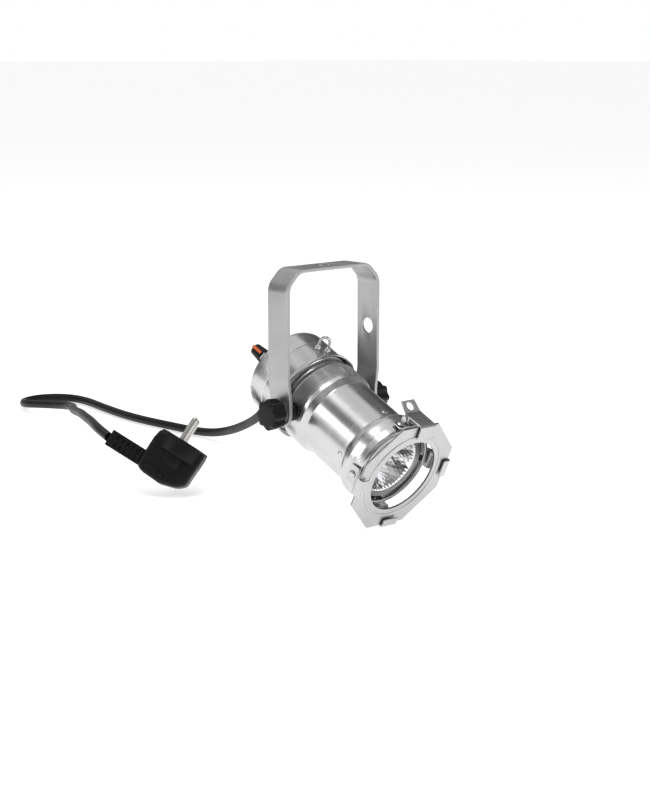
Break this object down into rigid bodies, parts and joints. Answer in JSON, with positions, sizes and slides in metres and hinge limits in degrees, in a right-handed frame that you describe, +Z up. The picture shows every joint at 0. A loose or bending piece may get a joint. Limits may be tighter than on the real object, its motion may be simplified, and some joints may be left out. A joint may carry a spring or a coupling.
{
  "type": "par can light",
  "caption": "Short sheet-metal stage can light on a hanging bracket, with a filter frame, rear dimmer and mains lead.",
  "frame": {"origin": "middle of the bracket's top hole, on its top face, where the bolt of a clamp or hook passes through", "axes": "+Z up out of the bracket's top face; +X along the tilt axis; the beam points towards -Y and down at rest"},
  "size_m": [0.1896, 0.5732, 0.1736],
  "materials": {
    "polished": "polished spun aluminium",
    "brushed": "brushed aluminium flat bar",
    "steel": "plated steel",
    "cast": "matt extruded aluminium",
    "mirror_bowl": "vacuum-metallised faceted reflector",
    "phosphor": "yellow phosphor",
    "black": "moulded black plastic",
    "pvc": "black flexible PVC",
    "knob_orange": "black with an orange pointer",
    "board": "green circuit board",
    "nickel": "nickel-plated brass",
    "copper": "enamelled copper winding"
  },
  "bodies": {
    "bracket": {"bracket": "brushed", "washer_left": "steel", "washer_right": "steel", "cord_drop": "pvc", "cord_run": "pvc", "plug_body": "pvc", "plug_relief": "pvc", "plug_pin_one": "nickel", "plug_pin_two": "nickel", "earth_contact_far": "nickel", "earth_contact_near": "nickel"},
    "can": {"can_body": "polished", "rear_cap": "polished", "safety_eye": "steel", "cap_screw_right": "steel", "cap_screw_bottom": "steel", "clip_left": "polished", "clip_right": "polished", "clip_bottom": "polished", "clip_rivet_left": "steel", "clip_rivet_right": "steel", "clip_rivet_bottom": "steel", "latch_base": "polished", "latch_rivet_side": "steel", "latch_rivet_middle": "steel", "latch_pin": "steel", "filter_frame": "polished", "pivot_bolt_left": "steel", "pivot_bolt_right": "steel", "spacer_left": "black", "spacer_right": "black", "lamp_housing": "cast", "lamp_bezel": "black", "lamp_reflector": "mirror_bowl", "led_board": "cast", "led_emitter": "phosphor", "lamp_plate": "cast", "heat_sink": "cast", "lamp_retaining_ring": "steel", "driver_board": "board", "driver_capacitor": "black", "driver_coil": "copper", "terminal_block": "black", "board_pillar_1": "nickel", "board_pillar_2": "nickel", "pillar_screw_1": "steel", "pillar_screw_2": "steel", "dimmer_pot": "black", "dimmer_nut": "steel", "cable_gland": "pvc", "gland_nut": "black"},
    "knob_left": {"clamp_knob_left": "black"},
    "knob_right": {"clamp_knob_right": "black"},
    "dimmer": {"dimmer_shaft": "steel", "dimmer_knob": "knob_orange"},
    "latch": {"latch": "polished"}
  },
  "joints": [
    {"name": "tilt", "type": "hinge", "parent": "bracket", "child": "can", "pos_m": [0, 0, -0.098], "axis": [1, 0, 0], "range_deg": [-55, 64], "deforming": ["cord_drop"]},
    {"name": "clamp_left", "type": "hinge", "parent": "can", "child": "knob_left", "pos_m": [-0.048, 0, -0.098], "axis": [-1, 0, 0], "continuous": true},
    {"name": "clamp_right", "type": "hinge", "parent": "can", "child": "knob_right", "pos_m": [0.048, 0, -0.098], "axis": [1, 0, 0], "continuous": true},
    {"name": "dimmer_turn", "type": "hinge", "parent": "can", "child": "dimmer", "pos_m": [-0.0215, 0.04179, -0.06499], "axis": [0, -0.9001, -0.4357], "range_deg": [-150, 150]},
    {"name": "latch_swing", "type": "hinge", "parent": "can", "child": "latch", "pos_m": [0.0046, -0.08154, -0.09525], "axis": [-1, 0, 0], "range_deg": [0, 45], "stiffness_Nm_per_rad": 0.02, "springref_deg": -20.05}
  ]
}
